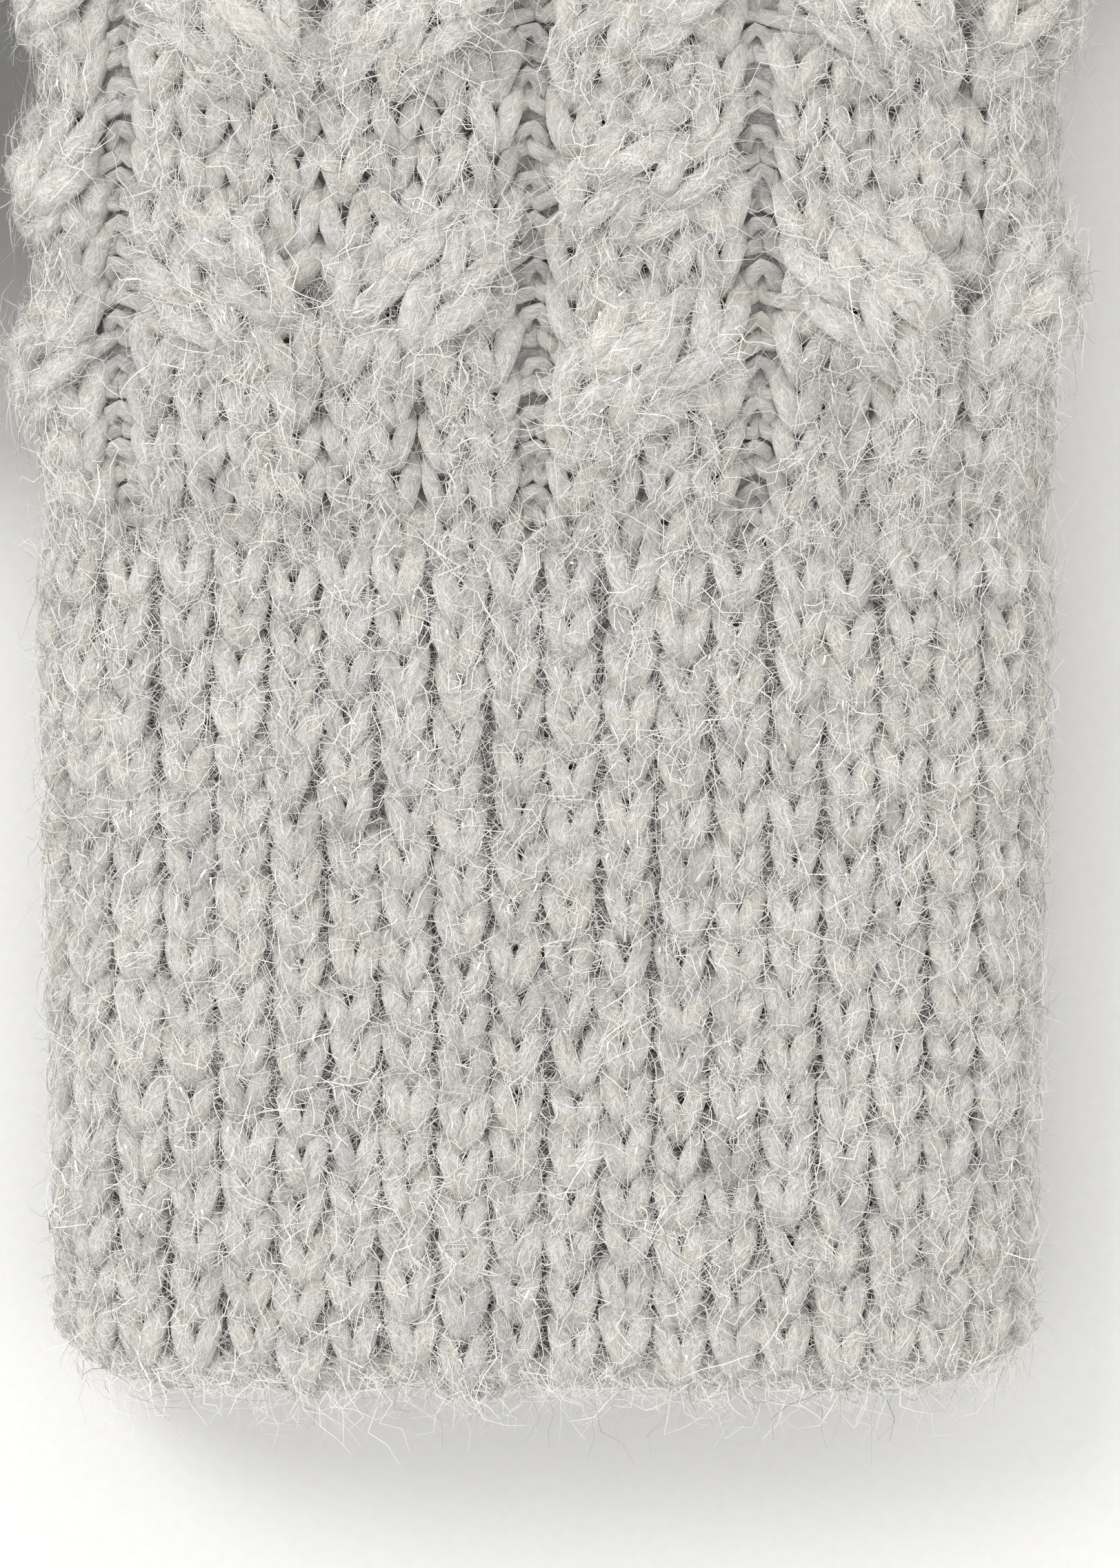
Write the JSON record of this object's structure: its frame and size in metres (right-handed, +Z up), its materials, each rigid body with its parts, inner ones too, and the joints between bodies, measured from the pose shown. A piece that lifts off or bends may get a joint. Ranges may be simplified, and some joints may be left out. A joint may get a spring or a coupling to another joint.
{
  "type": "knitted mittens",
  "caption": "Pair of hollow cable-knit mittens with long ribbed cuffs, rounded fingertips and side thumbs; the wrists, fingers and thumbs bend.",
  "frame": {"origin": "middle of the pair's footprint, on the surface that the mittens lie on", "axes": "+X to the right of the pair, +Y from the cuffs towards the fingertips, +Z up out of the palms"},
  "size_m": [0.2804, 0.342, 0.026],
  "materials": {
    "rib_knit": "fuzzy heathered wool and mohair blend with fine silver thread, 1x1 rib",
    "cable_knit": "fuzzy heathered wool and mohair blend with fine silver thread, cable stitch",
    "seam_yarn": "plied wool yarn",
    "label_satin": "blank woven satin ribbon"
  },
  "bodies": {
    "right_cuff": {"right_cast_on_edge": "rib_knit", "right_cuff_rib": "rib_knit", "right_cuff_seam": "seam_yarn", "right_care_label": "label_satin"},
    "right_hand": {"right_hand_tube": "cable_knit", "right_thumb_gusset": "cable_knit", "right_hand_seam": "seam_yarn"},
    "right_fingers": {"right_finger_pouch": "cable_knit", "right_finger_seam": "seam_yarn", "right_crown_gather": "seam_yarn"},
    "right_thumb": {"right_thumb_tube": "cable_knit", "right_thumb_seam": "seam_yarn", "right_thumb_gather": "seam_yarn"},
    "left_cuff": {"left_cast_on_edge": "rib_knit", "left_cuff_rib": "rib_knit", "left_cuff_seam": "seam_yarn"},
    "left_hand": {"left_hand_tube": "cable_knit", "left_thumb_gusset": "cable_knit", "left_hand_seam": "seam_yarn"},
    "left_fingers": {"left_finger_pouch": "cable_knit", "left_finger_seam": "seam_yarn", "left_crown_gather": "seam_yarn"},
    "left_thumb": {"left_thumb_tube": "cable_knit", "left_thumb_seam": "seam_yarn", "left_thumb_gather": "seam_yarn"}
  },
  "joints": [
    {"name": "right_wrist_bend", "type": "hinge", "parent": "right_hand", "child": "right_cuff", "pos_m": [0.0495, -0.096, 0.0235], "axis": [-1, 0, 0], "range_deg": [0, 80]},
    {"name": "right_finger_curl", "type": "hinge", "parent": "right_hand", "child": "right_fingers", "pos_m": [0.0495, 0.001, 0.026], "axis": [1, 0, 0], "range_deg": [0, 120]},
    {"name": "right_thumb_fold", "type": "hinge", "parent": "right_hand", "child": "right_thumb", "pos_m": [0.0996, -0.022, 0.022], "axis": [0, -1, 0], "range_deg": [0, 85]},
    {"name": "left_wrist_bend", "type": "hinge", "parent": "left_hand", "child": "left_cuff", "pos_m": [-0.0495, -0.004, 0.0235], "axis": [-1, 0, 0], "range_deg": [0, 80]},
    {"name": "left_finger_curl", "type": "hinge", "parent": "left_hand", "child": "left_fingers", "pos_m": [-0.0495, 0.093, 0.026], "axis": [1, 0, 0], "range_deg": [0, 120]},
    {"name": "left_thumb_fold", "type": "hinge", "parent": "left_hand", "child": "left_thumb", "pos_m": [-0.0996, 0.07, 0.022], "axis": [0, 1, 0], "range_deg": [0, 85]},
    {"name": "pair_separation", "type": "slide", "parent": "right_hand", "child": "left_hand", "axis": [-1, 0, 0], "range_m": [0, 0.15]}
  ]
}
